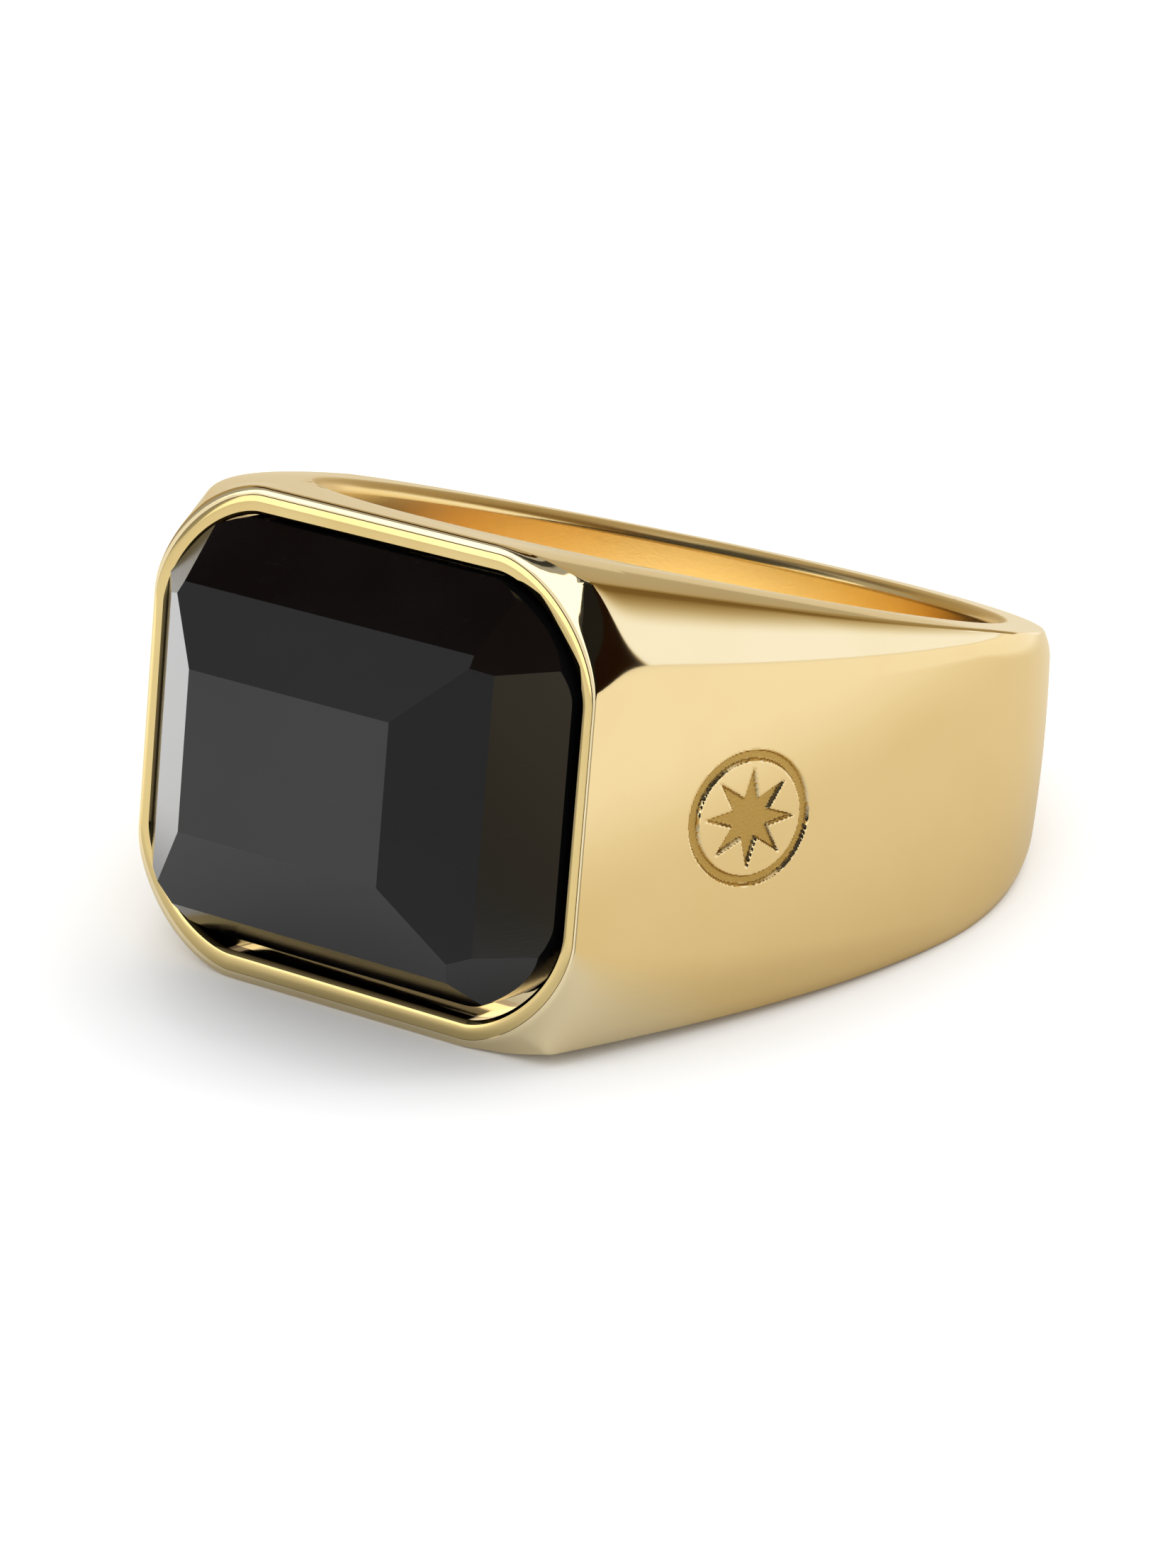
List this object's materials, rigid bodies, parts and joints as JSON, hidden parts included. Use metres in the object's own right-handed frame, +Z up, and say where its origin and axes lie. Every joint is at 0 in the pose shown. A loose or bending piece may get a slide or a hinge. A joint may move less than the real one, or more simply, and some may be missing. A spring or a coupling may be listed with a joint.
{
  "type": "signet ring",
  "caption": "Yellow gold signet ring with a black step-cut stone in a gold rim and a star emblem engraved on one shoulder, lying on its side.",
  "frame": {"origin": "centre of the ring's footprint box, on the ground it lies on", "axes": "+Z up from the lower side face that the ring rests on, +Y from the stone towards the back of the band, +X across the head"},
  "size_m": [0.023, 0.0276, 0.0134],
  "materials": {
    "polished_gold": "polished 14 carat yellow gold",
    "black_onyx": "polished",
    "cement": "matte"
  },
  "bodies": {
    "root": {"ring_body": "polished_gold", "bezel_rim": "polished_gold", "stone": "black_onyx", "setting_cement": "cement"}
  },
  "joints": []
}
